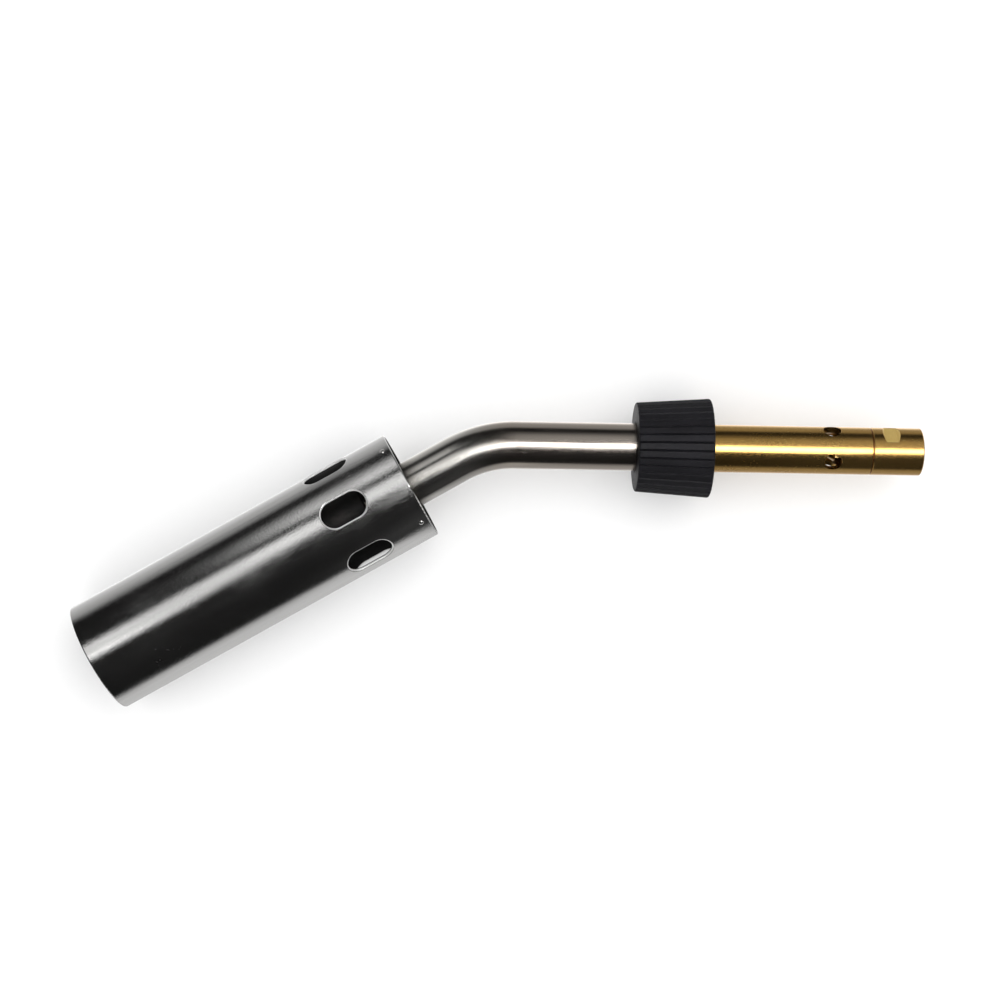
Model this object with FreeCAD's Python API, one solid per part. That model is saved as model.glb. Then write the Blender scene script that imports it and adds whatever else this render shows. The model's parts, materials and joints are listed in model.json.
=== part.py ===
import FreeCAD, Part
import math
import os

# Gas torch burner head: a flame barrel on a bent neck, with a captive coupling nut and a brass
# mixer tube. Millimetres, +Z up, lying flat with the neck's bend in the XY plane.
# The origin is on the coupling axis (X), at the seat face of the thrust collar.
# +X points to the gas inlet. Angles round an axis are degrees from +Z.

V = FreeCAD.Vector
X_AXIS = V(1, 0, 0)
Z_AXIS = V(0, 0, 1)
ORIGIN = V(0, 0, 0)

# --- shared sizes ---
TUBE_R = 8.0  # neck tube, mixer tube and jet holder, outside
CUT_OVER = 1.0  # how far a cutting tool runs past what it cuts

# --- neck tube: bent, from inside the barrel to the coupling ---
NECK_BORE_R = 7.0
BEND_ANGLE = 30.0
BEND_R = 40.0
BEND_CORNER_X = -59.2
NECK_END_X = -3.0
NECK_TIP_S = 52.0  # s is the distance along the barrel's axis from the bend's corner

# --- burner barrel ---
BARREL_R = 19.0
BARREL_WALL = 1.0
BARREL_REAR_S = 27.7
BARREL_MOUTH_S = 147.2
MOUTH_ROUND = 0.5
REAR_ROUND = 0.4
SLOT_LENGTH = 16.0
SLOT_WIDTH = 9.0
SLOT_S = 50.5
SLOT_ANGLES = [13.0 + 60.0 * i for i in range(6)]
SLOT_ROUND = 0.5

# --- back plate, its hub and its rivets ---
PLATE_S = 28.6
PLATE_THICK = 0.8
PLATE_BEND_R = 0.8
FLANGE_END_S = 33.2
HUB_R = 10.2
HUB_END_S = 36.0
HUB_CHAMFER = 0.8
RIVET_S = 30.4
RIVET_ANGLES = [50.0 + 90.0 * i for i in range(4)]
RIVET_SHANK_R = 0.6
RIVET_HEAD_R = 0.85
RIVET_HEAD_HIGH = 0.45

# --- burner nozzle, swirl vane and flame disc ---
NOZZLE_SOCKET_S = 44.0
NOZZLE_SOCKET_R = 10.0
NOZZLE_FLARE_S = 62.0
NOZZLE_HEAD_S = 68.0
NOZZLE_HEAD_R = 13.5
NOZZLE_END_S = 76.0
NOZZLE_CONE_S = 64.0
NOZZLE_CONE_END_S = 70.0
NOZZLE_SEAT_R = 11.0
NOZZLE_CHAMFER = 0.6
VANE_S = 54.0
VANE_LENGTH = 10.0
VANE_WIDTH = 13.8
VANE_THICK = 1.0
VANE_TWIST = 90.0
VANE_SECTIONS = 7
DISC_S = 72.0
DISC_THICK = 2.5
DISC_R = 12.0
DISC_PORTS = [(0.0, 1, 2.0), (5.2, 8, 1.4), (9.2, 16, 0.9)]  # circle radius, count, port radius
RING_THICK = 0.8
RING_R = 12.5
RING_BORE_R = 10.9
RING_GAP = 9.0

# --- thrust collar, slip washer and coupling nut ---
COLLAR_R = 10.6
COLLAR_BORE_R = 7.8
COLLAR_CHAMFER = 0.4
WASHER_START_X = -4.05
WASHER_END_X = -3.05
WASHER_R = 10.85
WASHER_BORE_R = 8.08
NUT_START_X = -8.0
NUT_END_X = 17.0
NUT_START_R = 15.0
NUT_END_R = 16.7
NUT_ROUND = 0.6
NUT_WEB_END_X = -4.1
NUT_WEB_BORE_R = 8.25
NUT_WEB_CHAMFER = 0.6
GROOVE_COUNT = 36
GROOVE_ANGLE = 7.9
GROOVE_DEPTH = 0.5
GROOVE_SLOPE = 0.8  # half width over depth

# --- threaded insert moulded into the nut ---
INSERT_R = 13.0
INSERT_END_X = 16.6
THREAD_MINOR_R = 11.19  # M24 x 1.5
LEAD_IN = 1.0
LOCK_GROOVE_X = (4.0, 8.0)
LOCK_GROOVE_R = 12.5

# --- mixer tube ---
MIXER_TAIL_X = -15.0
MIXER_TAIL_BORE_R = 5.5
MIXER_BORE_X = 2.0
MIXER_BORE_R = 6.0
MIXER_THREAD_X = 63.2
MIXER_THREAD_R = 6.4
MIXER_END_X = 71.3
MIXER_EDGE = 0.15
AIR_HOLE_X = 58.0
AIR_HOLE_R = 3.0
AIR_HOLE_CHAMFER = 0.1
AIR_HOLE_ANGLES = [-29.5 + 90.0 * i for i in range(4)]

# --- venturi insert inside the mixer tube ---
VENTURI_END_X = 52.0
VENTURI_BELL_R = 5.4
VENTURI_THROAT = [(40.0, 3.2), (44.0, 3.2), (48.5, 3.8), (51.0, 4.7)]
VENTURI_EXIT_R = 5.5

# --- jet holder ---
GASKET_R = 7.8
HOLDER_X = 71.7
HOLDER_END_X = 88.6
HOLDER_SPIGOT_X = 63.5
HOLDER_SPIGOT_R = 6.36
HOLDER_CHAMFER = 0.3
FLAT_X = 77.9
FLAT_BOTTOM = 3.9
FLAT_ACROSS = 14.0
FLAT_ANGLES = (52.5, 232.5)
JET_THREAD_R = 2.5
JET_THREAD_X = 70.5
PASSAGE_R = 1.5
FILTER_X = 74.5
FILTER_END_X = 77.5
FILTER_R = 3.2
CLIP_END_X = 78.2
CLIP_GROOVE_R = 3.6
CLIP_BORE_R = 2.5
CLIP_GAP = 3.0
INLET_X = 79.5
INLET_R = 4.0
INLET_LEAD_IN = 0.5
O_RING_X = 84.5
O_RING_WIRE_R = 0.6
O_RING_GROOVE_HALF = 0.8

# --- gas jet ---
JET_TIP_X = 55.8
JET_TIP_R = 1.5
JET_HEX_X = 59.2
JET_NOSE_R = 3.5
JET_HEX_END_X = 63.0
JET_HEX_ACROSS = 8.0
JET_SHANK_END_X = 69.5
JET_ORIFICE_R = 0.3
JET_ORIFICE_END_X = 57.5
JET_BORE_R = 1.2
JET_WASHER_R = 3.9


def turned(profile):
    """A solid turned about the X axis, from its outline as (x, radius) corners."""
    corners = [V(x, r, 0) for x, r in profile]
    outline = Part.makePolygon(corners + corners[:1])
    return Part.Face(outline).revolve(ORIGIN, X_AXIS, 360)


def tube(x_start, x_end, bore, outside):
    """A plain tube along the X axis."""
    return turned([(x_start, bore), (x_end, bore), (x_end, outside), (x_start, outside)])


def round_x(shape, angle):
    """Turn a shape made facing +Z to an angle round the coupling axis."""
    return shape.rotated(ORIGIN, X_AXIS, -angle)


def round_s(shape, angle):
    """Turn a shape made facing +Z to an angle round the barrel's axis, before it is placed."""
    return shape.rotated(ORIGIN, X_AXIS, angle)


def on_barrel(shape):
    """Move a shape made along +X, with x as s, onto the barrel's axis."""
    placed = shape.copy()
    turn = FreeCAD.Rotation(Z_AXIS, 180.0 + BEND_ANGLE)
    placed.Placement = FreeCAD.Placement(V(BEND_CORNER_X, 0, 0), turn).multiply(shape.Placement)
    return placed


def prism_x(x_start, x_end, corners):
    """A straight prism along X from (y, z) corners."""
    points = [V(x_start, y, z) for y, z in corners]
    outline = Part.makePolygon(points + points[:1])
    return Part.Face(outline).extrude(V(x_end - x_start, 0, 0))


def radial_post(x, radius, z_start, z_end):
    """A round post standing along +Z at a place on the X axis."""
    return Part.makeCylinder(radius, z_end - z_start, V(x, 0, z_start), Z_AXIS)


# ---------------------------------------------------------------- neck


def bent_rod(radius):
    """The neck's straight, bent and barrel-side lengths, as one solid rod."""
    tangent = BEND_R * math.tan(math.radians(BEND_ANGLE / 2))
    bend_start_x = BEND_CORNER_X + tangent
    straight = Part.makeCylinder(radius, NECK_END_X - bend_start_x, V(bend_start_x, 0, 0), X_AXIS)
    section = Part.Face(Part.Wire(Part.makeCircle(radius, V(bend_start_x, 0, 0), X_AXIS)))
    bend = section.revolve(V(bend_start_x, -BEND_R, 0), Z_AXIS, BEND_ANGLE)
    barrel_side = on_barrel(Part.makeCylinder(radius, NECK_TIP_S - tangent, V(tangent, 0, 0), X_AXIS))
    return straight.fuse([bend, barrel_side]).removeSplitter()


def make_neck_tube():
    return bent_rod(TUBE_R).cut(bent_rod(NECK_BORE_R))


# ---------------------------------------------------------------- barrel


def slot_tool():
    """A round-ended bar that cuts one air slot."""
    half_pitch = (SLOT_LENGTH - SLOT_WIDTH) / 2
    low = BARREL_R / 2
    high = BARREL_R + CUT_OVER
    ends = [radial_post(SLOT_S + side * half_pitch, SLOT_WIDTH / 2, low, high) for side in (-1, 1)]
    corner = V(SLOT_S - half_pitch, -SLOT_WIDTH / 2, low)
    middle = Part.makeBox(2 * half_pitch, SLOT_WIDTH, high - low, corner)
    return middle.fuse(ends).removeSplitter()


def slot_outer_edges(barrel):
    """The edges where the air slots meet the barrel's outside."""
    found = []
    for edge in barrel.Edges:
        middle = edge.valueAt((edge.FirstParameter + edge.LastParameter) / 2)
        on_outside = abs(math.hypot(middle.y, middle.z) - BARREL_R) < 0.01
        box = edge.BoundBox
        in_slots = box.XMin > SLOT_S - SLOT_LENGTH and box.XMax < SLOT_S + SLOT_LENGTH
        if on_outside and in_slots:
            found.append(edge)
    return found


def make_burner_barrel():
    bore = BARREL_R - BARREL_WALL
    barrel = tube(BARREL_REAR_S, BARREL_MOUTH_S, bore, BARREL_R)
    mouth = [e for e in barrel.Edges if e.BoundBox.XMin > BARREL_MOUTH_S - 0.01]
    mouth_outer = [e for e in mouth if e.BoundBox.ZMax > BARREL_R - 0.01]
    barrel = barrel.makeFillet(MOUTH_ROUND, mouth_outer)
    rear = [e for e in barrel.Edges if e.BoundBox.XMax < BARREL_REAR_S + 0.01]
    rear_outer = [e for e in rear if e.BoundBox.ZMax > BARREL_R - 0.01]
    barrel = barrel.makeFillet(REAR_ROUND, rear_outer)
    barrel = barrel.cut([round_s(slot_tool(), angle) for angle in SLOT_ANGLES])
    barrel = barrel.makeFillet(SLOT_ROUND, slot_outer_edges(barrel))
    hole = radial_post(RIVET_S, RIVET_SHANK_R, bore - CUT_OVER, BARREL_R + CUT_OVER)
    return on_barrel(barrel.cut([round_s(hole, angle) for angle in RIVET_ANGLES]))


def make_barrel_back_plate():
    outside = BARREL_R - BARREL_WALL
    inside = outside - PLATE_THICK
    plate = turned(
        [
            (PLATE_S, TUBE_R),
            (PLATE_S, outside),
            (FLANGE_END_S, outside),
            (FLANGE_END_S, inside),
            (PLATE_S + PLATE_THICK, inside),
            (PLATE_S + PLATE_THICK, TUBE_R),
        ]
    )
    rim = [e for e in plate.Edges if e.BoundBox.XMax < PLATE_S + 0.01 and e.BoundBox.ZMax > inside]
    plate = plate.makeFillet(PLATE_BEND_R, rim)
    hole = radial_post(RIVET_S, RIVET_SHANK_R, inside - CUT_OVER, outside + CUT_OVER)
    return on_barrel(plate.cut([round_s(hole, angle) for angle in RIVET_ANGLES]))


def make_plate_hub():
    start = PLATE_S + PLATE_THICK
    hub = turned(
        [
            (start, TUBE_R),
            (start, HUB_R),
            (HUB_END_S - HUB_CHAMFER, HUB_R),
            (HUB_END_S, HUB_R - HUB_CHAMFER),
            (HUB_END_S, TUBE_R),
        ]
    )
    return on_barrel(hub)


def make_rivet():
    """One domed rivet standing along +Z, with its tail closed inside the plate's flange."""
    flange_inside = BARREL_R - BARREL_WALL - PLATE_THICK
    tail_top = math.sqrt(flange_inside**2 - RIVET_HEAD_R**2)
    tail = radial_post(RIVET_S, RIVET_HEAD_R, tail_top - RIVET_HEAD_HIGH, tail_top)
    shank = radial_post(RIVET_S, RIVET_SHANK_R, tail_top - RIVET_HEAD_HIGH, BARREL_R)
    dome_r = (RIVET_HEAD_R**2 + RIVET_HEAD_HIGH**2) / (2 * RIVET_HEAD_HIGH)
    dome_centre = V(RIVET_S, 0, BARREL_R + RIVET_HEAD_HIGH - dome_r)
    dome = Part.makeSphere(dome_r, dome_centre)
    head = dome.common(radial_post(RIVET_S, RIVET_HEAD_R, BARREL_R, BARREL_R + dome_r))
    return shank.fuse([tail, head]).removeSplitter()


def make_barrel_rivets():
    rivet = make_rivet()
    return Part.makeCompound([on_barrel(round_s(rivet, angle)) for angle in RIVET_ANGLES])


# ---------------------------------------------------------------- flame parts


def make_burner_nozzle():
    ring_end = DISC_S + DISC_THICK + RING_THICK
    outline = [
        (NOZZLE_SOCKET_S, TUBE_R),
        (NECK_TIP_S, TUBE_R),
        (NECK_TIP_S, NECK_BORE_R),
        (NOZZLE_CONE_S, NECK_BORE_R),
        (NOZZLE_CONE_END_S, NOZZLE_SEAT_R),
        (DISC_S, NOZZLE_SEAT_R),
        (DISC_S, DISC_R),
        (DISC_S + DISC_THICK, DISC_R),
        (DISC_S + DISC_THICK, RING_R),
        (ring_end, RING_R),
        (ring_end, DISC_R),
        (NOZZLE_END_S, DISC_R),
        (NOZZLE_END_S, NOZZLE_HEAD_R - NOZZLE_CHAMFER),
        (NOZZLE_END_S - NOZZLE_CHAMFER, NOZZLE_HEAD_R),
        (NOZZLE_HEAD_S, NOZZLE_HEAD_R),
        (NOZZLE_FLARE_S, NOZZLE_SOCKET_R),
        (NOZZLE_SOCKET_S + NOZZLE_CHAMFER, NOZZLE_SOCKET_R),
        (NOZZLE_SOCKET_S, NOZZLE_SOCKET_R - NOZZLE_CHAMFER),
    ]
    return on_barrel(turned(outline))


def make_swirl_vane():
    half_w = VANE_WIDTH / 2
    half_t = VANE_THICK / 2
    corners = [(-half_w, -half_t), (half_w, -half_t), (half_w, half_t), (-half_w, half_t)]
    sections = []
    for i in range(VANE_SECTIONS):
        share = i / (VANE_SECTIONS - 1)
        points = [V(VANE_S + share * VANE_LENGTH, y, z) for y, z in corners]
        outline = Part.makePolygon(points + points[:1])
        sections.append(outline.rotated(ORIGIN, X_AXIS, share * VANE_TWIST))
    return on_barrel(Part.makeLoft(sections, True, False))


def make_flame_disc():
    disc = Part.makeCylinder(DISC_R, DISC_THICK, V(DISC_S, 0, 0), X_AXIS)
    ports = []
    for circle_r, count, port_r in DISC_PORTS:
        for i in range(count):
            start = V(DISC_S - CUT_OVER, 0, circle_r)
            port = Part.makeCylinder(port_r, DISC_THICK + 2 * CUT_OVER, start, X_AXIS)
            ports.append(round_s(port, 360.0 * i / count))
    return on_barrel(disc.cut(ports))


def make_disc_retaining_ring():
    start = DISC_S + DISC_THICK
    ring = tube(start, start + RING_THICK, RING_BORE_R, RING_R)
    corner = V(start - CUT_OVER, -RING_GAP / 2, 0)
    gap = Part.makeBox(RING_THICK + 2 * CUT_OVER, RING_GAP, RING_R + CUT_OVER, corner)
    return on_barrel(ring.cut(gap))


# ---------------------------------------------------------------- coupling


def make_thrust_collar():
    return turned(
        [
            (NECK_END_X, COLLAR_BORE_R),
            (NECK_END_X, COLLAR_R - COLLAR_CHAMFER),
            (NECK_END_X + COLLAR_CHAMFER, COLLAR_R),
            (-COLLAR_CHAMFER, COLLAR_R),
            (0.0, COLLAR_R - COLLAR_CHAMFER),
            (0.0, COLLAR_BORE_R),
        ]
    )


def make_slip_washer():
    return tube(WASHER_START_X, WASHER_END_X, WASHER_BORE_R, WASHER_R)


def nut_radius(x):
    share = (x - NUT_START_X) / (NUT_END_X - NUT_START_X)
    return NUT_START_R + share * (NUT_END_R - NUT_START_R)


def groove_tool():
    """A V-shaped bar that follows the nut's taper and cuts one grip groove."""
    outlines = []
    for x in (NUT_START_X - CUT_OVER, NUT_END_X + CUT_OVER):
        floor = nut_radius(x) - GROOVE_DEPTH
        top = nut_radius(x) + GROOVE_DEPTH
        half = 2 * GROOVE_DEPTH * GROOVE_SLOPE
        corners = [V(x, 0, floor), V(x, half, top), V(x, -half, top)]
        outlines.append(Part.makePolygon(corners + corners[:1]))
    return Part.makeLoft(outlines, True, True)


def make_coupling_nut():
    blank = turned(
        [
            (NUT_START_X, 0.0),
            (NUT_START_X, NUT_START_R),
            (NUT_END_X, NUT_END_R),
            (NUT_END_X, 0.0),
        ]
    )
    rims = [e for e in blank.Edges if e.BoundBox.XLength < 0.01 and e.BoundBox.ZMax > INSERT_R]
    blank = blank.makeFillet(NUT_ROUND, rims)
    pitch = 360.0 / GROOVE_COUNT
    tool = groove_tool()
    blank = blank.cut([round_x(tool, GROOVE_ANGLE + pitch * i) for i in range(GROOVE_COUNT)])
    rib_start, rib_end = LOCK_GROOVE_X
    hollow = turned(
        [
            (NUT_START_X - CUT_OVER, 0.0),
            (NUT_START_X - CUT_OVER, NUT_WEB_BORE_R + NUT_WEB_CHAMFER + CUT_OVER),
            (NUT_START_X + NUT_WEB_CHAMFER, NUT_WEB_BORE_R),
            (NUT_WEB_END_X, NUT_WEB_BORE_R),
            (NUT_WEB_END_X, INSERT_R),
            (rib_start, INSERT_R),
            (rib_start, LOCK_GROOVE_R),
            (rib_end, LOCK_GROOVE_R),
            (rib_end, INSERT_R),
            (NUT_END_X + CUT_OVER, INSERT_R),
            (NUT_END_X + CUT_OVER, 0.0),
        ]
    )
    return blank.cut(hollow)


def make_nut_insert():
    lock_start, lock_end = LOCK_GROOVE_X
    return turned(
        [
            (NUT_WEB_END_X, THREAD_MINOR_R),
            (INSERT_END_X - LEAD_IN, THREAD_MINOR_R),
            (INSERT_END_X, THREAD_MINOR_R + LEAD_IN),
            (INSERT_END_X, INSERT_R),
            (lock_end, INSERT_R),
            (lock_end, LOCK_GROOVE_R),
            (lock_start, LOCK_GROOVE_R),
            (lock_start, INSERT_R),
            (NUT_WEB_END_X, INSERT_R),
        ]
    )


# ---------------------------------------------------------------- mixer tube


def make_mixer_tube():
    body = turned(
        [
            (MIXER_TAIL_X, MIXER_TAIL_BORE_R),
            (MIXER_TAIL_X, NECK_BORE_R - MIXER_EDGE),
            (MIXER_TAIL_X + MIXER_EDGE, NECK_BORE_R),
            (NECK_END_X, NECK_BORE_R),
            (NECK_END_X, COLLAR_BORE_R),
            (0.0, COLLAR_BORE_R),
            (0.0, TUBE_R),
            (MIXER_END_X - MIXER_EDGE, TUBE_R),
            (MIXER_END_X, TUBE_R - MIXER_EDGE),
            (MIXER_END_X, MIXER_THREAD_R),
            (MIXER_THREAD_X, MIXER_THREAD_R),
            (MIXER_THREAD_X, MIXER_BORE_R),
            (MIXER_BORE_X, MIXER_BORE_R),
            (MIXER_BORE_X, MIXER_TAIL_BORE_R),
        ]
    )
    hole = radial_post(AIR_HOLE_X, AIR_HOLE_R, 0.0, TUBE_R + CUT_OVER)
    cone_base = V(AIR_HOLE_X, 0, TUBE_R - AIR_HOLE_CHAMFER)
    cone_top_r = AIR_HOLE_R + 3 * AIR_HOLE_CHAMFER
    cone = Part.makeCone(AIR_HOLE_R, cone_top_r, 3 * AIR_HOLE_CHAMFER, cone_base, Z_AXIS)
    tool = hole.fuse(cone)
    return body.cut([round_x(tool, angle) for angle in AIR_HOLE_ANGLES])


def make_venturi_insert():
    outline = [(MIXER_BORE_X, VENTURI_EXIT_R)]
    outline += VENTURI_THROAT
    outline += [
        (VENTURI_END_X, VENTURI_BELL_R),
        (VENTURI_END_X, MIXER_BORE_R),
        (MIXER_BORE_X, MIXER_BORE_R),
    ]
    return turned(outline)


# ---------------------------------------------------------------- jet holder


def flat_tool():
    """A bar with 45 degree shoulders that cuts one spanner flat."""
    depth = TUBE_R - FLAT_ACROSS / 2 + CUT_OVER
    floor = FLAT_ACROSS / 2
    corners = [
        V(FLAT_X - FLAT_BOTTOM / 2, -TUBE_R, floor),
        V(FLAT_X + FLAT_BOTTOM / 2, -TUBE_R, floor),
        V(FLAT_X + FLAT_BOTTOM / 2 + depth, -TUBE_R, floor + depth),
        V(FLAT_X - FLAT_BOTTOM / 2 - depth, -TUBE_R, floor + depth),
    ]
    outline = Part.makePolygon(corners + corners[:1])
    return Part.Face(outline).extrude(V(0, 2 * TUBE_R, 0))


def make_jet_holder():
    groove_start = O_RING_X - O_RING_GROOVE_HALF
    groove_end = O_RING_X + O_RING_GROOVE_HALF
    groove_r = INLET_R + 2 * O_RING_WIRE_R
    body = turned(
        [
            (HOLDER_SPIGOT_X, JET_THREAD_R),
            (HOLDER_SPIGOT_X, HOLDER_SPIGOT_R - MIXER_EDGE),
            (HOLDER_SPIGOT_X + MIXER_EDGE, HOLDER_SPIGOT_R),
            (HOLDER_X, HOLDER_SPIGOT_R),
            (HOLDER_X, TUBE_R - MIXER_EDGE),
            (HOLDER_X + MIXER_EDGE, TUBE_R),
            (HOLDER_END_X - HOLDER_CHAMFER, TUBE_R),
            (HOLDER_END_X, TUBE_R - HOLDER_CHAMFER),
            (HOLDER_END_X, INLET_R + INLET_LEAD_IN),
            (HOLDER_END_X - INLET_LEAD_IN, INLET_R),
            (groove_end, INLET_R),
            (groove_end, groove_r),
            (groove_start, groove_r),
            (groove_start, INLET_R),
            (INLET_X, INLET_R),
            (INLET_X, FILTER_R),
            (CLIP_END_X, FILTER_R),
            (CLIP_END_X, CLIP_GROOVE_R),
            (FILTER_END_X, CLIP_GROOVE_R),
            (FILTER_END_X, FILTER_R),
            (FILTER_X, FILTER_R),
            (FILTER_X, PASSAGE_R),
            (JET_THREAD_X, PASSAGE_R),
            (JET_THREAD_X, JET_THREAD_R),
        ]
    )
    return body.cut([round_x(flat_tool(), angle) for angle in FLAT_ANGLES])


def make_holder_gasket():
    return tube(MIXER_END_X, HOLDER_X, MIXER_THREAD_R, GASKET_R)


def make_gas_jet():
    outside = turned(
        [
            (JET_TIP_X, JET_ORIFICE_R),
            (JET_TIP_X, JET_TIP_R),
            (JET_HEX_X, JET_NOSE_R),
            (JET_HEX_END_X, JET_NOSE_R),
            (JET_HEX_END_X, JET_THREAD_R),
            (JET_SHANK_END_X, JET_THREAD_R),
            (JET_SHANK_END_X, JET_BORE_R),
            (JET_ORIFICE_END_X, JET_BORE_R),
            (JET_ORIFICE_END_X, JET_ORIFICE_R),
        ]
    )
    corner_r = JET_HEX_ACROSS / 2 / math.cos(math.radians(30.0))
    corners = []
    for i in range(6):
        angle = math.radians(60.0 * i)
        corners.append((corner_r * math.cos(angle), corner_r * math.sin(angle)))
    hexagon = prism_x(JET_HEX_X, JET_HEX_END_X, corners)
    bore = tube(JET_HEX_X, JET_HEX_END_X, 0.0, JET_BORE_R)
    return outside.fuse(hexagon.cut(bore)).removeSplitter()


def make_jet_washer():
    return tube(JET_HEX_END_X, HOLDER_SPIGOT_X, JET_THREAD_R, JET_WASHER_R)


def make_gas_filter():
    return Part.makeCylinder(FILTER_R, FILTER_END_X - FILTER_X, V(FILTER_X, 0, 0), X_AXIS)


def make_filter_clip():
    clip = tube(FILTER_END_X, CLIP_END_X, CLIP_BORE_R, CLIP_GROOVE_R)
    corner = V(FILTER_END_X - CUT_OVER, -CLIP_GAP / 2, 0)
    gap = Part.makeBox(CLIP_END_X - FILTER_END_X + 2 * CUT_OVER, CLIP_GAP, TUBE_R, corner)
    return clip.cut(gap)


def make_inlet_o_ring():
    return Part.makeTorus(INLET_R + O_RING_WIRE_R, O_RING_WIRE_R, V(O_RING_X, 0, 0), X_AXIS)


NODES = {
    "burner_barrel": make_burner_barrel,
    "barrel_back_plate": make_barrel_back_plate,
    "plate_hub": make_plate_hub,
    "barrel_rivets": make_barrel_rivets,
    "neck_tube": make_neck_tube,
    "burner_nozzle": make_burner_nozzle,
    "swirl_vane": make_swirl_vane,
    "flame_disc": make_flame_disc,
    "disc_retaining_ring": make_disc_retaining_ring,
    "thrust_collar": make_thrust_collar,
    "slip_washer": make_slip_washer,
    "coupling_nut": make_coupling_nut,
    "nut_insert": make_nut_insert,
    "mixer_tube": make_mixer_tube,
    "venturi_insert": make_venturi_insert,
    "holder_gasket": make_holder_gasket,
    "jet_holder": make_jet_holder,
    "gas_jet": make_gas_jet,
    "jet_washer": make_jet_washer,
    "gas_filter": make_gas_filter,
    "filter_clip": make_filter_clip,
    "inlet_o_ring": make_inlet_o_ring,
}

os.makedirs("parts", exist_ok=True)
for name, make in NODES.items():
    shape = make()
    shape.exportStep("parts/" + name + ".step")
    kind = "valid" if shape.isValid() else "NOT VALID"
    print(name, kind, len(shape.Solids), round(shape.Volume, 2))
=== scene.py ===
import json
import math

import bpy
from mathutils import Matrix, Vector


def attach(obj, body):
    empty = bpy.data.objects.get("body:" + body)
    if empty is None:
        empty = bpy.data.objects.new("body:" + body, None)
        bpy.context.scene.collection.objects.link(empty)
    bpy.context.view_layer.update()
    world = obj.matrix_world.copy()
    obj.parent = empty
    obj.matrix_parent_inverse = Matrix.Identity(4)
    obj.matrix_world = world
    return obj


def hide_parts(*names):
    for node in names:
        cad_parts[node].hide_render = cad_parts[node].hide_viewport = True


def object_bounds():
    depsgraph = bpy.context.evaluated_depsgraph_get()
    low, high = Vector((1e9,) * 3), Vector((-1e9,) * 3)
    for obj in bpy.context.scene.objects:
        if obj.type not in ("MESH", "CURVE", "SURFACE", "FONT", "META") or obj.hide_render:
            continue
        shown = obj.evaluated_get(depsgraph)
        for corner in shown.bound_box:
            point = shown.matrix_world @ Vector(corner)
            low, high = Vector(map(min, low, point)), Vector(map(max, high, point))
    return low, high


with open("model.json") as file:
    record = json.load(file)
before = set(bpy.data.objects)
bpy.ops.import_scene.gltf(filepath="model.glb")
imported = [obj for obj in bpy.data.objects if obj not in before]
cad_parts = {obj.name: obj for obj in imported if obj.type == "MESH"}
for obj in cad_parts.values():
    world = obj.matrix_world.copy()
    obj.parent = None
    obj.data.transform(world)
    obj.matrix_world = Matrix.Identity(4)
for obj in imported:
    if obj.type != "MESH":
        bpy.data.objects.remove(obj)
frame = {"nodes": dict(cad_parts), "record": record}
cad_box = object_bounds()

NODES = frame["nodes"]

# The burner lies flat. Its coupling axis is X; the barrel's axis leaves the bend's corner at 30 degrees.
CORNER = Vector((-0.0592, 0.0, 0.0))
BEND = math.radians(30.0)
BARREL_AXIS = Vector((-math.cos(BEND), -math.sin(BEND), 0.0))
UP = Vector((0.0, 0.0, 1.0))
FLOOR_Z = cad_box[0].z - 0.0001

# Where the burner's surfaces are, in metres. "Along" runs on the barrel's axis from the bend's corner.
BARREL_OUTSIDE = 0.0190
BARREL_INSIDE = 0.0180
BARREL_MOUTH = 0.1472
SLOTS_FROM = 0.0405
SLOTS_TO = 0.0605
TUBE_OUTSIDE = 0.0080
NECK_BEND_FROM = -0.050
NECK_BEND_TO = -0.068
MILLED_FLAT = (0.0735, 0.0823)


# ------------------------------------------------------------------ shader helpers


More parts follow.
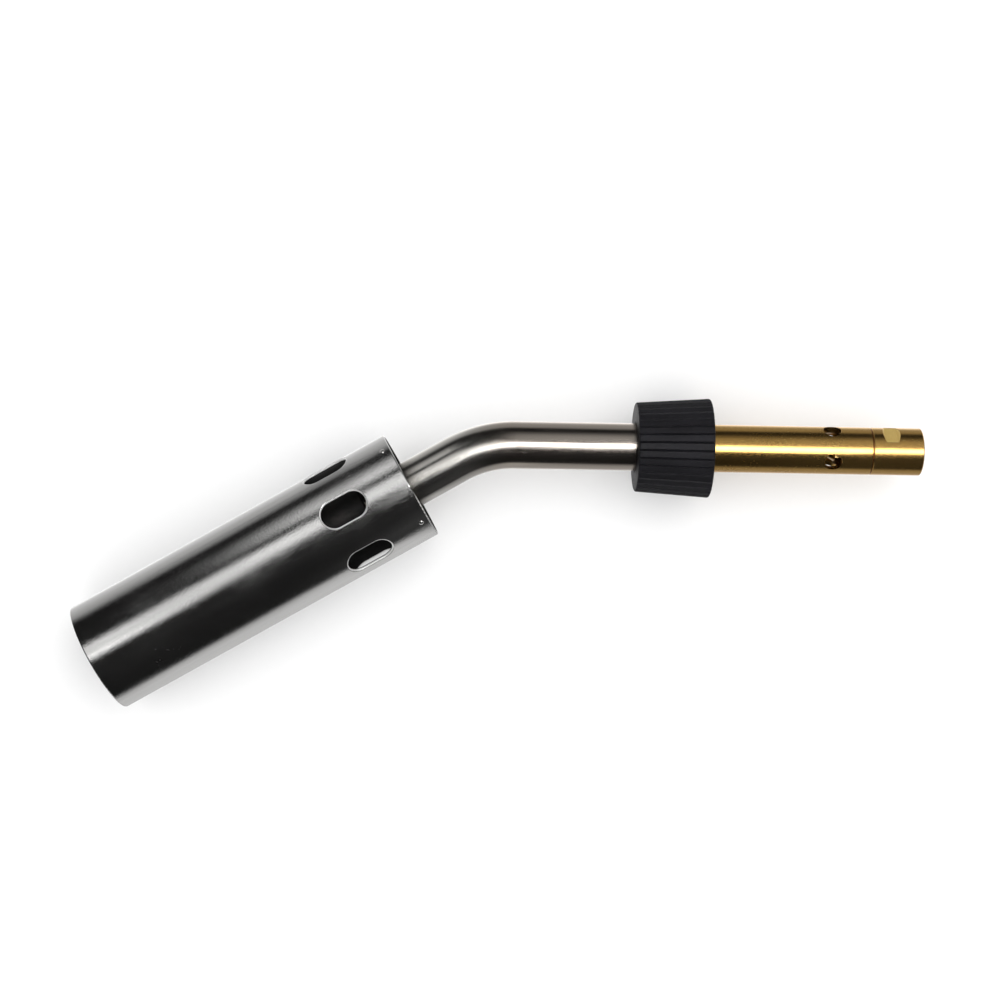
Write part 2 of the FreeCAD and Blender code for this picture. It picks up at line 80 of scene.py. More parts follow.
class Shader:
    """A material's node tree, with short calls for the nodes used here."""

    def __init__(self, name):
        self.material = bpy.data.materials.new(name)
        self.material.use_nodes = True
        self.tree = self.material.node_tree
        self.tree.nodes.clear()
        self.output = self.tree.nodes.new("ShaderNodeOutputMaterial")
        self.coords = self.tree.nodes.new("ShaderNodeTexCoord").outputs["Object"]

    def put(self, node, key, value):
        """Link an output to a node's input, or set the input's own value."""
        if isinstance(value, bpy.types.NodeSocket):
            self.tree.links.new(value, node.inputs[key])
        else:
            node.inputs[key].default_value = value

    def math(self, operation, a, b=None, c=None, clamp=False):
        node = self.tree.nodes.new("ShaderNodeMath")
        node.operation = operation
        node.use_clamp = clamp
        for key, value in enumerate((a, b, c)):
            if value is not None:
                self.put(node, key, value)
        return node.outputs[0]

    def mapped(self, scale=(1, 1, 1), barrel=False, coords=None):
        """Object coordinates, turned and moved so that X runs along an axis, then scaled."""
        source = self.coords if coords is None else coords
        if barrel:
            turned = self.tree.nodes.new("ShaderNodeMapping")
            turned.vector_type = "TEXTURE"
            self.put(turned, "Vector", source)
            self.put(turned, "Location", CORNER)
            self.put(turned, "Rotation", (0.0, 0.0, math.pi + BEND))
            source = turned.outputs[0]
        node = self.tree.nodes.new("ShaderNodeMapping")
        self.put(node, "Vector", source)
        self.put(node, "Scale", scale)
        return node.outputs[0]

    def noise(self, vector, detail=2.0, rough=0.5, warp=0.0):
        node = self.tree.nodes.new("ShaderNodeTexNoise")
        self.put(node, "Vector", vector)
        self.put(node, "Scale", 1.0)
        self.put(node, "Detail", detail)
        self.put(node, "Roughness", rough)
        self.put(node, "Distortion", warp)
        return node.outputs["Fac"]

    def span(self, value, low, high, to_low=0.0, to_high=1.0, smooth=True):
        """Map a value's range to another, held at both ends."""
        node = self.tree.nodes.new("ShaderNodeMapRange")
        node.interpolation_type = "SMOOTHSTEP" if smooth else "LINEAR"
        node.clamp = True
        for key, number in (
            ("Value", value),
            ("From Min", low),
            ("From Max", high),
            ("To Min", to_low),
            ("To Max", to_high),
        ):
            self.put(node, key, number)
        return node.outputs[0]

    def ramp(self, value, stops):
        """A value's level between (position, level) stops, where positions run from 0 to 1."""
        node = self.tree.nodes.new("ShaderNodeValToRGB")
        ramp = node.color_ramp
        while len(ramp.elements) > 1:
            ramp.elements.remove(ramp.elements[-1])
        ramp.elements[0].position = stops[0][0]
        ramp.elements[0].color = rgb(*[stops[0][1]] * 3)
        for position, level in stops[1:]:
            ramp.elements.new(position).color = rgb(*[level] * 3)
        self.put(node, "Fac", value)
        return self.split(node.outputs["Color"])[0]

    def mix(self, share, a, b):
        node = self.tree.nodes.new("ShaderNodeMix")
        node.data_type = "RGBA"
        self.put(node, 0, share)
        self.put(node, 6, a)
        self.put(node, 7, b)
        return node.outputs[2]

    def bump(self, height, distance, normal=None):
        node = self.tree.nodes.new("ShaderNodeBump")
        self.put(node, "Height", height)
        self.put(node, "Distance", distance)
        if normal is not None:
            self.put(node, "Normal", normal)
        return node.outputs[0]

    def split(self, vector):
        node = self.tree.nodes.new("ShaderNodeSeparateXYZ")
        self.put(node, 0, vector)
        return node.outputs

    def radius(self, vector):
        """Distance from the X axis of a vector's space."""
        _, y, z = self.split(vector)
        return self.math("SQRT", self.math("ADD", self.math("MULTIPLY", y, y), self.math("MULTIPLY", z, z)))

    def surface(self, **inputs):
        """Finish with a Principled surface."""
        node = self.tree.nodes.new("ShaderNodeBsdfPrincipled")
        for key, value in inputs.items():
            words = [word if word.isupper() else word.capitalize() for word in key.split("_")]
            self.put(node, " ".join(words), value)
        self.tree.links.new(node.outputs[0], self.output.inputs[0])
        return self.material


def rgb(red, green, blue):
    return (red, green, blue, 1.0)


# ------------------------------------------------------------------ materials


def polished_steel():
    """Polished stainless tube: a speckled mirror, with slot rims lightened as a painted highlight and a bore
    darkened by soot and painted shade.
    """
    s = Shader("polished_steel")
    place = s.mapped(barrel=True)
    grain = s.noise(s.mapped((1500, 2000, 2000), barrel=True), detail=3, rough=0.7)
    chatter = s.noise(s.mapped((1900, 1300, 1300), barrel=True), detail=2, rough=0.5)
    wave = s.noise(s.mapped((45, 150, 150), barrel=True), detail=1)
    streak = s.noise(s.mapped((10, 520, 520), barrel=True), detail=4, rough=0.65)
    haze = s.noise(s.mapped((38, 95, 95), barrel=True), detail=4, rough=0.6)
    along = s.split(place)[0]
    radius = s.radius(place)
    inside = s.span(radius, BARREL_INSIDE + 0.0003, BARREL_INSIDE + 0.0001)
    # Soot and painted shade: the bore darkens from its mouth inwards.
    soot_and_bore_shade = s.math("MULTIPLY", inside, s.span(along, BARREL_MOUTH + 0.0028, 0.085, 0.45, 1.0))
    # Painted shade: the bore is darker still, rougher and less metallic, deeper in.
    painted_deep_shade = s.math("MULTIPLY", inside, s.span(along, 0.110, 0.080))
    in_wall = s.math(
        "MULTIPLY",
        s.span(radius, BARREL_OUTSIDE - 0.00004, BARREL_OUTSIDE - 0.0001),
        s.span(radius, BARREL_INSIDE + 0.0002, BARREL_INSIDE + 0.0004),
    )
    by_slots = s.math(
        "MULTIPLY",
        s.span(along, SLOTS_FROM - 0.0005, SLOTS_FROM + 0.0005),
        s.span(along, SLOTS_TO + 0.0005, SLOTS_TO - 0.0005),
    )
    # Painted highlight: the slot rims are lighter, rougher and less metallic, so they show as bright lines.
    painted_rim_highlight = s.math("MULTIPLY", in_wall, by_slots)
    steel = s.mix(streak, rgb(0.575, 0.57, 0.56), rgb(0.69, 0.685, 0.675))
    colour = s.mix(soot_and_bore_shade, steel, rgb(0.03, 0.029, 0.028))
    colour = s.mix(painted_deep_shade, colour, rgb(0.016, 0.0155, 0.015))
    colour = s.mix(painted_rim_highlight, colour, rgb(0.80, 0.80, 0.79))
    rough = s.span(haze, 0.35, 0.75, 0.075, 0.17)
    rough = s.math("ADD", rough, s.span(grain, 0.30, 0.70, 0.0, 0.12, smooth=False))
    rough = s.math("ADD", rough, s.math("MULTIPLY", inside, 0.28))
    rough = s.math("ADD", rough, s.math("MULTIPLY", painted_deep_shade, 0.30))
    rough = s.math("ADD", rough, s.math("MULTIPLY", painted_rim_highlight, 0.30))
    metallic = s.math("SUBTRACT", 1.0, s.math("MULTIPLY", painted_deep_shade, 0.8))
    metallic = s.math("SUBTRACT", metallic, s.math("MULTIPLY", painted_rim_highlight, 0.5))
    normal = s.bump(wave, 0.00003)
    normal = s.bump(chatter, 0.000016, normal)
    normal = s.bump(grain, 0.000034, normal)
    return s.surface(base_color=colour, metallic=metallic, roughness=rough, normal=normal)


def satin_steel():
    """Brushed stainless neck, brushed along its length, a little straw-coloured on the coupling side, with
    painted shade next to the barrel.
    """
    s = Shader("satin_steel")
    x = s.split(s.mapped())[0]
    on_barrel_side = s.span(x, NECK_BEND_FROM, NECK_BEND_TO)
    fine = s.mix(
        on_barrel_side,
        s.noise(s.mapped((60, 1500, 1500)), detail=4, rough=0.7),
        s.noise(s.mapped((60, 1500, 1500), barrel=True), detail=4, rough=0.7),
    )
    cloudy = s.noise(s.mapped((45, 120, 120)), detail=3)
    along = s.split(s.mapped(barrel=True))[0]
    # Painted shade: the neck darkens, in clouds, towards the barrel's rear end.
    painted_barrel_shade = s.math("MULTIPLY", s.span(along, 0.021, 0.029), s.span(cloudy, 0.2, 0.8, 0.5, 1.0))
    warm = s.mix(fine, rgb(0.50, 0.445, 0.39), rgb(0.62, 0.555, 0.49))
    cool = s.mix(fine, rgb(0.50, 0.485, 0.455), rgb(0.62, 0.60, 0.565))
    colour = s.mix(on_barrel_side, warm, cool)
    colour = s.mix(s.math("MULTIPLY", painted_barrel_shade, 0.9), colour, rgb(0.16, 0.145, 0.13))
    rough = s.span(fine, 0.3, 0.7, 0.17, 0.26, smooth=False)
    rough = s.math("ADD", rough, s.span(cloudy, 0.3, 0.7, -0.02, 0.03))
    normal = s.bump(fine, 0.000003)
    return s.surface(base_color=colour, metallic=1.0, roughness=rough, normal=normal)


def plate_steel():
    """Pressed and turned stainless, slightly dull, warmer where the heat reaches it."""
    s = Shader("plate_steel")
    grain = s.noise(s.mapped((900, 900, 900)), detail=3, rough=0.6)
    cloudy = s.noise(s.mapped((90, 90, 90)), detail=2)
    colour = s.mix(s.span(cloudy, 0.3, 0.7), rgb(0.50, 0.48, 0.45), rgb(0.42, 0.37, 0.31))
    rough = s.span(grain, 0.3, 0.7, 0.20, 0.34)
    return s.surface(base_color=colour, metallic=1.0, roughness=rough, normal=s.bump(grain, 0.000006))


def rivet_steel():
    s = Shader("rivet_steel")
    grain = s.noise(s.mapped((2500, 2500, 2500)), detail=2)
    colour = s.mix(grain, rgb(0.72, 0.71, 0.70), rgb(0.85, 0.84, 0.82))
    rough = s.span(grain, 0.3, 0.7, 0.12, 0.25)
    return s.surface(base_color=colour, metallic=1.0, roughness=rough, normal=s.bump(grain, 0.000006))


def hot_steel():
    """Stainless that has been in the flame: sooty scale, with temper colours on the flame side."""
    s = Shader("hot_steel")
    cloudy = s.noise(s.mapped((110, 160, 160), barrel=True), detail=4, rough=0.6)
    grain = s.noise(s.mapped((1400, 1400, 1400)), detail=3, rough=0.6)
    flame_side = s.span(s.split(s.mapped(barrel=True))[0], 0.066, 0.071)
    scale = s.mix(s.span(cloudy, 0.35, 0.65), rgb(0.020, 0.019, 0.019), rgb(0.034, 0.031, 0.029))
    temper = s.mix(s.span(cloudy, 0.35, 0.52), rgb(0.15, 0.13, 0.11), rgb(0.21, 0.15, 0.09))
    temper = s.mix(s.span(cloudy, 0.55, 0.75), temper, rgb(0.09, 0.10, 0.15))
    colour = s.mix(flame_side, scale, temper)
    rough = s.span(grain, 0.3, 0.7, 0.42, 0.60)
    return s.surface(base_color=colour, metallic=0.75, roughness=rough, normal=s.bump(grain, 0.00001))


def spring_steel():
    s = Shader("spring_steel")
    grain = s.noise(s.mapped((1800, 1800, 1800)), detail=2)
    colour = s.mix(grain, rgb(0.16, 0.16, 0.17), rgb(0.26, 0.26, 0.27))
    rough = s.span(grain, 0.3, 0.7, 0.25, 0.40)
    return s.surface(base_color=colour, metallic=1.0, roughness=rough, normal=s.bump(grain, 0.000005))


def brass(name, light, dark, rough_low, rough_high, tarnish=0.3, milled=None):
    """Turned brass: fine lathe lines round the axis, a faint drawn grain along it, cloudy tarnish."""
    s = Shader(name)
    lines = s.noise(s.mapped((5200, 60, 60)), detail=3, rough=0.6)
    grain = s.noise(s.mapped((900, 1900, 1900)), detail=3, rough=0.7)
    cloudy = s.noise(s.mapped((60, 130, 130)), detail=4, rough=0.55)
    inside = s.span(s.radius(s.mapped()), TUBE_OUTSIDE - 0.0004, TUBE_OUTSIDE - 0.0006)
    colour = s.mix(s.span(grain, 0.25, 0.75), dark, light)
    colour = s.mix(s.math("MULTIPLY", s.span(cloudy, 0.45, 0.8), tarnish), colour, rgb(0.38, 0.215, 0.06))
    # Painted shade: brass nearer the axis than the tube's outside, in the bores and on small inner parts, is
    # darker.
    colour = s.mix(s.math("MULTIPLY", inside, 0.6), colour, rgb(0.24, 0.145, 0.045))
    rough = s.span(grain, 0.25, 0.75, rough_low, rough_high, smooth=False)
    rough = s.math("ADD", rough, s.span(cloudy, 0.4, 0.8, 0.0, 0.04))
    rough = s.math("ADD", rough, s.math("MULTIPLY", inside, 0.12))
    normal = s.bump(lines, 0.0000015)
    normal = s.bump(grain, 0.0000028, normal)
    metallic = 1.0
    if milled is not None:
        place = s.mapped()
        x = s.split(place)[0]
        start, end = milled
        along_flat = s.math("MULTIPLY", s.span(x, start, start + 0.0002), s.span(x, end, end - 0.0002))
        below_round = s.span(s.radius(place), TUBE_OUTSIDE - 0.00004, TUBE_OUTSIDE - 0.00008)
        cut = s.math("MULTIPLY", along_flat, below_round)
        swirl = s.noise(s.mapped((2600, 500, 500)), detail=2)
        colour = s.mix(cut, colour, s.mix(swirl, rgb(0.50, 0.34, 0.09), rgb(0.62, 0.45, 0.15)))
        rough = s.math("ADD", rough, s.math("MULTIPLY", cut, 0.15))
        metallic = s.math("SUBTRACT", 1.0, s.math("MULTIPLY", cut, 0.55))
    return s.surface(base_color=colour, metallic=metallic, roughness=rough, normal=normal)


def nut_plastic():
    """Glass-filled black nylon: spark-eroded mould texture, a little dust in it."""
    s = Shader("nut_plastic")
    texture = s.noise(s.mapped((2300, 2300, 2300)), detail=3, rough=0.6)
    flow = s.noise(s.mapped((70, 180, 180)), detail=3)
    dust = s.span(s.noise(s.mapped((900, 900, 900)), detail=4, rough=0.7), 0.56, 0.74)
    colour = s.mix(s.span(flow, 0.3, 0.7), rgb(0.0050, 0.0047, 0.0070), rgb(0.0080, 0.0074, 0.0108))
    colour = s.mix(s.math("MULTIPLY", dust, 0.10), colour, rgb(0.06, 0.055, 0.065))
    rough = s.span(texture, 0.3, 0.7, 0.52, 0.68)
    rough = s.math("ADD", rough, s.span(flow, 0.3, 0.7, -0.03, 0.04))
    normal = s.bump(texture, 0.00003)
    return s.surface(base_color=colour, roughness=rough, normal=normal, specular_IOR_level=0.27)


def washer_plastic():
    s = Shader("washer_plastic")
    grain = s.noise(s.mapped((1500, 1500, 1500)), detail=2)
    colour = s.mix(grain, rgb(0.70, 0.68, 0.62), rgb(0.78, 0.76, 0.70))
    rough = s.span(grain, 0.3, 0.7, 0.35, 0.50)
    return s.surface(base_color=colour, roughness=rough, normal=s.bump(grain, 0.00001))


def gasket_copper():
    s = Shader("gasket_copper")
    grain = s.noise(s.mapped((1500, 1500, 1500)), detail=3)
    colour = s.mix(grain, rgb(0.20, 0.085, 0.03), rgb(0.34, 0.15, 0.055))
    rough = s.span(grain, 0.3, 0.7, 0.28, 0.45)
    return s.surface(base_color=colour, metallic=1.0, roughness=rough, normal=s.bump(grain, 0.000006))


def sintered_bronze():
    """Sintered beads, about 0.3 mm across, with painted shade in the pores between them."""
    s = Shader("sintered_bronze")
    cells = s.tree.nodes.new("ShaderNodeTexVoronoi")
    s.put(cells, "Vector", s.mapped((3200, 3200, 3200)))
    s.put(cells, "Scale", 1.0)
    beads = s.span(cells.outputs["Distance"], 0.15, 0.65, 1.0, 0.0)
    # Painted shade: dark pores between the beads.
    colour = s.mix(beads, rgb(0.07, 0.045, 0.02), rgb(0.50, 0.34, 0.17))
    rough = s.span(beads, 0.0, 1.0, 0.80, 0.45)
    return s.surface(base_color=colour, metallic=0.9, roughness=rough, normal=s.bump(beads, 0.00012))


def seal_rubber():
    s = Shader("seal_rubber")
    grain = s.noise(s.mapped((2600, 2600, 2600)), detail=2)
    colour = s.mix(grain, rgb(0.012, 0.012, 0.012), rgb(0.026, 0.025, 0.024))
    rough = s.span(grain, 0.3, 0.7, 0.45, 0.62)
    return s.surface(base_color=colour, roughness=rough, normal=s.bump(grain, 0.00001))


# How bright the floor looks in reflections: (millimetres across from the burner's axis, level).
# The camera never sees these levels. They are tuned to put dark and bright bands on the metal.
FLOOR_BY_COUPLING = [
    (-1000, 0.02), (-300, 0.10), (-143, 0.28), (-71, 0.42), (-34, 0.45), (-26, 0.48), (-20, 0.76),
    (-15, 1.02), (-11, 1.15), (0, 1.3), (11, 1.6), (16, 1.6), (20, 1.3), (26, 0.78), (34, 0.42),
    (71, 0.38), (143, 0.34), (300, 0.18), (1000, 0.04),
]
FLOOR_BY_BARREL = [
    (-1000, 0.02), (-300, 0.14), (-191, 0.50), (-98, 0.69), (-66, 0.73), (-39, 0.71), (-32, 0.66),
    (-27, 0.61), (-22, 0.62),
    (0, 1.1), (22, 1.38), (27, 1.08), (32, 0.8), (39, 0.72), (49, 0.63), (66, 0.53), (98, 0.42),
    (190, 0.16), (300, 0.06), (1000, 0.02),
]
FLOOR_SOFTNESS = 0.04
FLOOR_PEAK = 2.0


def floor_paper():
    """White paper to the camera. Reflections see tuned levels instead of the paper."""
    s = Shader("floor_paper")
    tooth = s.noise(s.mapped((400, 400, 400)), detail=3)
    colour = s.mix(tooth, rgb(0.885, 0.885, 0.885), rgb(0.90, 0.90, 0.90))
    s.surface(base_color=colour, roughness=0.9)
    paper = s.output.inputs[0].links[0].from_socket

    def place(across):
        """Squeeze a distance across, of either sign, into 0 to 1."""
        if isinstance(across, float):
            return 0.5 + 0.5 * across / (abs(across) + FLOOR_SOFTNESS)
        size = s.math("ADD", s.math("ABSOLUTE", across), FLOOR_SOFTNESS)
        return s.math("ADD", s.math("MULTIPLY", s.math("DIVIDE", across, size), 0.5), 0.5)

    def level(across, stops):
        return s.ramp(place(across), [(place(mm / 1000.0), share / FLOOR_PEAK) for mm, share in stops])

    by_coupling = level(s.split(s.mapped())[1], FLOOR_BY_COUPLING)
    across_barrel = s.math("MULTIPLY", s.split(s.mapped(barrel=True))[1], -1.0)
    by_barrel = level(across_barrel, FLOOR_BY_BARREL)
    x, y, _ = s.split(s.coords)
    past_bend = s.math("MULTIPLY_ADD", x, -math.cos(BEND / 2), CORNER.x * math.cos(BEND / 2))
    past_bend = s.math("MULTIPLY_ADD", y, -math.sin(BEND / 2), past_bend)
    share = s.span(past_bend, -0.005, 0.020)
    by_coupling = s.math("MULTIPLY", by_coupling, s.span(x, 0.110, 0.200, 1.0, 0.10))
    along_barrel = s.split(s.mapped(barrel=True))[0]
    by_barrel = s.math("MULTIPLY", by_barrel, s.span(along_barrel, 0.160, 0.260, 1.0, 0.10))
    from_coupling = s.math("MULTIPLY", by_coupling, s.math("SUBTRACT", 1.0, share))
    from_barrel = s.math("MULTIPLY", by_barrel, share)
    glow = s.math("ADD", from_coupling, from_barrel)
    emission = s.tree.nodes.new("ShaderNodeEmission")
    s.put(emission, "Strength", s.math("MULTIPLY", glow, FLOOR_PEAK))
    path = s.tree.nodes.new("ShaderNodeLightPath")
    choose = s.tree.nodes.new("ShaderNodeMixShader")
    s.put(choose, 0, path.outputs["Is Glossy Ray"])
    s.put(choose, 1, paper)
    s.put(choose, 2, emission.outputs[0])
    s.put(s.output, 0, choose.outputs[0])
    return s.material


MATERIALS = {
    "polished_steel": polished_steel(),
    "plate_steel": plate_steel(),
    "rivet_steel": rivet_steel(),
    "satin_steel": satin_steel(),
    "hot_steel": hot_steel(),
    "spring_steel": spring_steel(),
    "collar_brass": brass("collar_brass", rgb(0.66, 0.41, 0.13), rgb(0.54, 0.325, 0.095), 0.22, 0.32),
    "washer_plastic": washer_plastic(),
    "nut_plastic": nut_plastic(),
    "insert_brass": brass("insert_brass", rgb(0.66, 0.41, 0.13), rgb(0.54, 0.325, 0.095), 0.20, 0.30),
    "brushed_brass": brass(
        "brushed_brass", rgb(0.69, 0.425, 0.135), rgb(0.59, 0.355, 0.105), 0.21, 0.27, milled=MILLED_FLAT
    ),
    "inner_brass": brass("inner_brass", rgb(0.50, 0.32, 0.11), rgb(0.40, 0.25, 0.08), 0.28, 0.40, 0.6),
    "gasket_copper": gasket_copper(),
    "jet_brass": brass("jet_brass", rgb(0.85, 0.60, 0.25), rgb(0.74, 0.50, 0.19), 0.12, 0.22, 0.1),
    "sintered_bronze": sintered_bronze(),
    "seal_rubber": seal_rubber(),
}


def give(obj, slot_name):
    """Put one material on every slot of an object."""
    obj.data.materials.clear()
    obj.data.materials.append(MATERIALS[slot_name])


for part in frame["record"]["subparts"]:
    give(NODES[part["node"]], part["material_slot"])


# ------------------------------------------------------------------ pieces built here


def mesh_piece(name, vertices, faces, body, slot_name):
    """A new piece that rides on a CAD body."""
    mesh = bpy.data.meshes.new(name)
    mesh.from_pydata([tuple(v) for v in vertices], [], faces)
    mesh.update()
    obj = bpy.data.objects.new(name, mesh)
    bpy.context.scene.collection.objects.link(obj)
    obj.data.materials.append(MATERIALS[slot_name])
    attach(obj, body)
    return obj


# The brass insert with its real thread: M24 x 1.5, cut along a helix.
THREAD_PITCH = 0.0015
THREAD_MINOR = 0.01119
THREAD_MAJOR = 0.01204
INSERT_OUTSIDE = 0.0130
INSERT_START = -0.0041
INSERT_END = 0.0166
LEAD_IN = 0.0010
INSERT_BEVEL = 0.0002
ROUND_STEPS = 144
ROWS_PER_PITCH = 16


def thread_radius(x, turn):
    """The internal thread's radius at a place along and round it (turn is 0 to 1)."""
    phase = (x / THREAD_PITCH - turn) % 1.0
    rise = min(1.0, max(0.0, (abs(phase - 0.5) - 0.09) / 0.28))
    radius = THREAD_MAJOR + (THREAD_MINOR - THREAD_MAJOR) * rise
    from_mouth = INSERT_END - x
    return max(radius, THREAD_MINOR + LEAD_IN - from_mouth)


def build_insert():
    rows = int((INSERT_END - INSERT_START) / THREAD_PITCH * ROWS_PER_PITCH)
    step = (INSERT_END - INSERT_START) / rows
    rings = []
    for i in range(rows + 1):
        x = INSERT_START + i * step
        rings.append([(x, thread_radius(x, j / ROUND_STEPS)) for j in range(ROUND_STEPS)])
    for x, radius in (
        (INSERT_END, INSERT_OUTSIDE - INSERT_BEVEL),
        (INSERT_END - INSERT_BEVEL, INSERT_OUTSIDE),
        (INSERT_START + INSERT_BEVEL, INSERT_OUTSIDE),
        (INSERT_START, INSERT_OUTSIDE - INSERT_BEVEL),
    ):
        rings.append([(x, radius)] * ROUND_STEPS)
    vertices = []
    for ring in rings:
        for j, (x, radius) in enumerate(ring):
            angle = 2 * math.pi * j / ROUND_STEPS
            vertices.append((x, radius * math.sin(angle), radius * math.cos(angle)))
    faces = []
    count = len(rings)
    for i in range(count):
        for j in range(ROUND_STEPS):
            a = i * ROUND_STEPS + j
            b = i * ROUND_STEPS + (j + 1) % ROUND_STEPS
            c = ((i + 1) % count) * ROUND_STEPS + (j + 1) % ROUND_STEPS
            d = ((i + 1) % count) * ROUND_STEPS + j
            faces.append((a, d, c, b))
    piece = mesh_piece("nut_insert_threaded", vertices, faces, "nut", "insert_brass")
    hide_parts("nut_insert")
    return piece


build_insert()


# ------------------------------------------------------------------ stage


FLOOR_HALF = 12.0


def build_floor():
    half = FLOOR_HALF
    mesh = bpy.data.meshes.new("floor")
    corners = [(-half, -half, FLOOR_Z), (half, -half, FLOOR_Z), (half, half, FLOOR_Z), (-half, half, FLOOR_Z)]
    mesh.from_pydata(corners, [], [(0, 1, 2, 3)])
    floor = bpy.data.objects.new("floor", mesh)
    bpy.context.scene.collection.objects.link(floor)
    mesh.materials.append(floor_paper())


WORLD_PALE = 1.30
WORLD_IN_REFLECTIONS = 0.014


def build_world():
    """Even pale light for everything dull. Reflections see a nearly black room instead."""
    world = bpy.data.worlds.new("studio")
    world.use_nodes = True
    tree = world.node_tree
    tree.nodes.clear()
    output = tree.nodes.new("ShaderNodeOutputWorld")
    path = tree.nodes.new("ShaderNodeLightPath")
    pale = tree.nodes.new("ShaderNodeBackground")
    pale.inputs["Color"].default_value = rgb(1.0, 1.0, 1.0)
    pale.inputs["Strength"].default_value = WORLD_PALE
    dark = tree.nodes.new("ShaderNodeBackground")
    dark.inputs["Color"].default_value = rgb(1.0, 1.0, 1.0)
    dark.inputs["Strength"].default_value = WORLD_IN_REFLECTIONS
    choose = tree.nodes.new("ShaderNodeMixShader")
    tree.links.new(path.outputs["Is Glossy Ray"], choose.inputs[0])
    tree.links.new(pale.outputs[0], choose.inputs[1])
    tree.links.new(dark.outputs[0], choose.inputs[2])
    tree.links.new(choose.outputs[0], output.inputs[0])
    bpy.context.scene.world = world


CARD_DISTANCE = 0.45
CARD_STEP = 0.004
CARDS = []


def between(stops, value):
    """The level at a value, on straight lines between (position, level) stops."""
    if value <= stops[0][0]:
        return stops[0][1]
    for (low, low_level), (high, high_level) in zip(stops, stops[1:]):
        if value <= high:
            return low_level + (high_level - low_level) * (value - low) / (high - low)
    return stops[-1][1]


def soft_card(name, centre, axis, round_stops, along_stops):
    """A curved softbox round an axis, seen only in reflections.

    round_stops are (degrees from straight up towards +Y, level); along_stops are (mm on the axis, level).
    Each card is a little further out than the one before, so that no two share a surface.
    """
    distance = CARD_DISTANCE + CARD_STEP * len(CARDS)
    CARDS.append(name)
    side = UP.cross(axis).normalized()
    if side.y < 0:
        side = -side
    phi_low, phi_high = round_stops[0][0], round_stops[-1][0]
    start, end = along_stops[0][0], along_stops[-1][0]
    steps_round = int(phi_high - phi_low) * 2
    steps_along = max(16, int((end - start) / 4))
    vertices, glows = [], []
    for i in range(steps_round + 1):
        degrees = phi_low + (phi_high - phi_low) * i / steps_round
        turn = math.radians(degrees)
        out = UP * math.cos(turn) + side * math.sin(turn)
        for j in range(steps_along + 1):
            mm = start + (end - start) * j / steps_along
            vertices.append(centre + axis * mm / 1000.0 + out * distance)
            glows.append(between(round_stops, degrees) * between(along_stops, mm))
    faces = []
    row = steps_along + 1
    for i in range(steps_round):
        for j in range(steps_along):
            a = i * row + j
            faces.append((a, a + 1, a + row + 1, a + row))
    mesh = bpy.data.meshes.new(name)
    mesh.from_pydata([tuple(v) for v in vertices], [], faces)
    attribute = mesh.attributes.new("glow", "FLOAT", "POINT")
    attribute.data.foreach_set("value", glows)
    material = bpy.data.materials.new(name)
    material.use_nodes = True
    tree = material.node_tree
    tree.nodes.clear()
    output = tree.nodes.new("ShaderNodeOutputMaterial")
    emission = tree.nodes.new("ShaderNodeEmission")
    read = tree.nodes.new("ShaderNodeAttribute")
    read.attribute_name = "glow"
    through = tree.nodes.new("ShaderNodeBsdfTransparent")
    both = tree.nodes.new("ShaderNodeAddShader")
    tree.links.new(read.outputs["Fac"], emission.inputs["Strength"])
    tree.links.new(emission.outputs[0], both.inputs[0])
    tree.links.new(through.outputs[0], both.inputs[1])
    tree.links.new(both.outputs[0], output.inputs[0])
    mesh.materials.append(material)
    card = bpy.data.objects.new(name, mesh)
    bpy.context.scene.collection.objects.link(card)
    card.visible_camera = False
    card.visible_diffuse = False
    card.visible_shadow = False
    card.visible_transmission = False


# Each card's levels round its axis. They are tuned with the floor's levels.
COUPLING_MAIN = [(-9, 0), (-6, 8.5), (11.5, 8.5), (14.5, 0)]
COUPLING_FAR = [(18, 0), (24, 0.55), (48, 0.45), (60, 0.20), (72, 0)]
BEND_MAIN = [(0, 0), (4, 4), (20, 4), (25, 0)]
NECK_MAIN = [(2, 0), (6, 2.2), (30, 1.6), (36, 0)]
BARREL_MIDDLE = [(6, 0), (10, 0.45), (15, 0.8), (20, 1.05), (30, 1.0), (37, 0)]
MOUTH_MAIN = [(5, 0), (7, 2.0), (13, 2.0), (17, 1.2), (19.5, 0.6), (22, 1.3), (33, 1.2), (37, 0)]
ROOM = [(-95, 0), (-80, 0.045), (-20, 0.03), (20, 0.01), (70, 0.03), (90, 0)]
BARREL_FAR = [(44, 0), (49, 0.95), (60, 0.8), (70, 0.45), (80, 0)]


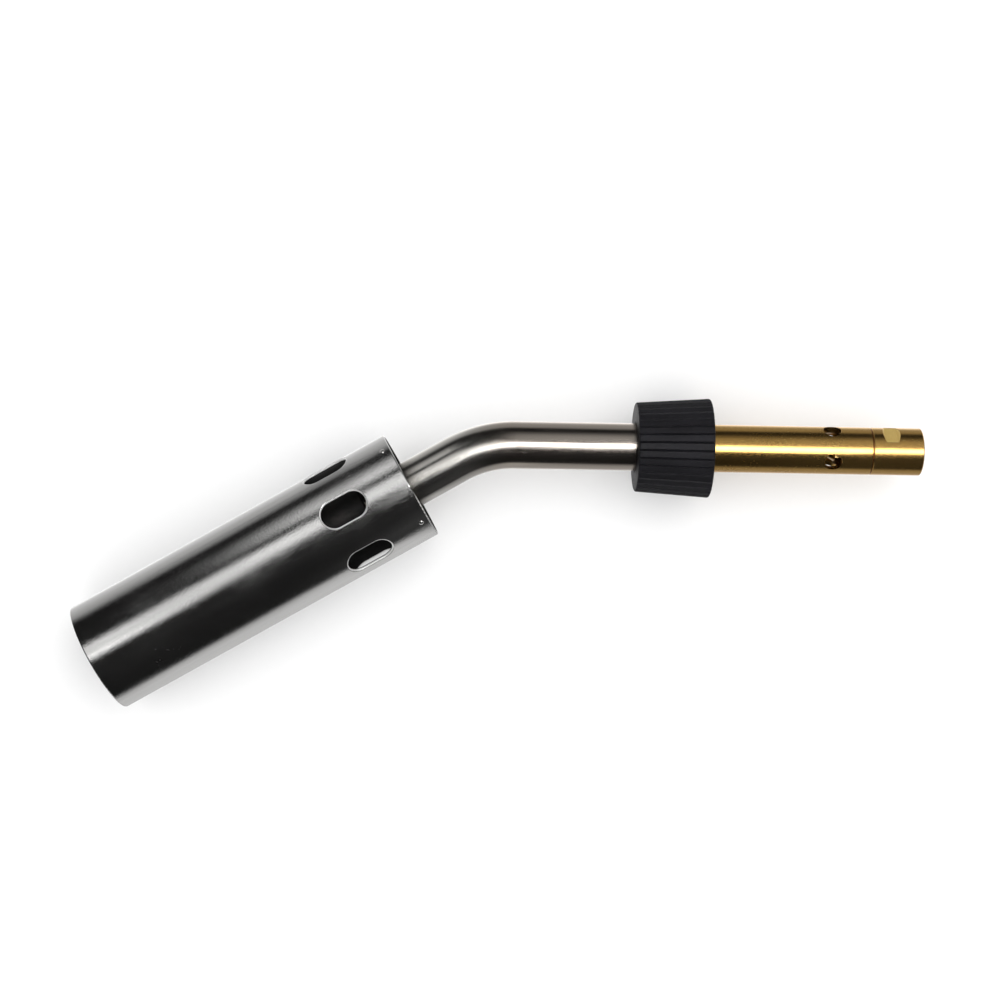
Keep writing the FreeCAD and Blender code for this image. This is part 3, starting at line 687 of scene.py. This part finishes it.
def build_lights():
    x_axis = Vector((1.0, 0.0, 0.0))
    origin = Vector((0.0, 0.0, 0.0))
    bend_axis = Vector((-math.cos(BEND / 2), -math.sin(BEND / 2), 0.0))
    cards = [
        ("card_coupling", origin, x_axis, COUPLING_MAIN, [(-34, 0), (-27, 1), (240, 1), (260, 0)]),
        (
            "card_coupling_far", origin, x_axis, COUPLING_FAR,
            [(-60, 0), (-30, 0.85), (90, 0.7), (130, 1), (280, 1), (300, 0)],
        ),
        ("card_room", origin, x_axis, ROOM, [(70, 0), (140, 1), (300, 1), (340, 0)]),
        ("card_bend", CORNER, bend_axis, BEND_MAIN, [(-24, 0), (-14, 1), (0, 1), (8, 0)]),
        ("card_neck", CORNER, BARREL_AXIS, NECK_MAIN, [(2, 0), (10, 1), (34, 1), (38, 0)]),
        (
            "card_barrel", CORNER, BARREL_AXIS, BARREL_MIDDLE,
            [(36, 0), (40, 0.6), (60, 0.85), (100, 1.3), (124, 1.2), (157, 0.6), (190, 0.3), (230, 0)],
        ),
        (
            "card_mouth", CORNER, BARREL_AXIS, MOUTH_MAIN,
            [(118, 0), (157, 0.18), (190, 0.4), (210, 0.7), (232, 1.0), (270, 1.1), (300, 0)],
        ),
        (
            "card_barrel_far", CORNER, BARREL_AXIS, BARREL_FAR,
            [(-10, 0), (10, 1), (90, 1), (110, 0.6), (150, 0)],
        ),
    ]
    for card in cards:
        soft_card(*card)
    key_data = bpy.data.lights.new("key", "AREA")
    key_data.shape = "RECTANGLE"
    key_data.size = 1.2
    key_data.size_y = 0.9
    key_data.energy = 4.0
    key = bpy.data.objects.new("key", key_data)
    key.location = (0.35, 0.75, 1.5)
    key.rotation_euler = (-key.location).to_track_quat("-Z", "Y").to_euler()
    key.visible_glossy = False
    bpy.context.scene.collection.objects.link(key)


# The camera's small turns from straight down, in radians, and the bend's corner as it sees it.
CAMERA_TURNS = (0.0389, 0.0498, -0.0185)
CAMERA_LENS = 75.70
CORNER_FROM_CAMERA = Vector((-0.0056864, 0.0186823, -0.7062698))


def build_camera():
    """Looking down on the burner, with its coupling axis almost level."""
    yaw, pitch, roll = CAMERA_TURNS
    turn = Matrix.Rotation(roll, 3, "Z") @ Matrix.Rotation(pitch, 3, "X") @ Matrix.Rotation(yaw, 3, "Y")
    data = bpy.data.cameras.new("camera")
    data.sensor_width = 36.0
    data.lens = CAMERA_LENS
    data.clip_start = 0.01
    data.clip_end = 50.0
    camera = bpy.data.objects.new("camera", data)
    facing = turn.transposed()
    place = CORNER - facing @ CORNER_FROM_CAMERA
    camera.matrix_world = Matrix.Translation(place) @ facing.to_4x4()
    bpy.context.scene.collection.objects.link(camera)
    bpy.context.scene.camera = camera


build_floor()
build_world()
build_lights()
build_camera()
bpy.context.scene.view_settings.view_transform = "Standard"
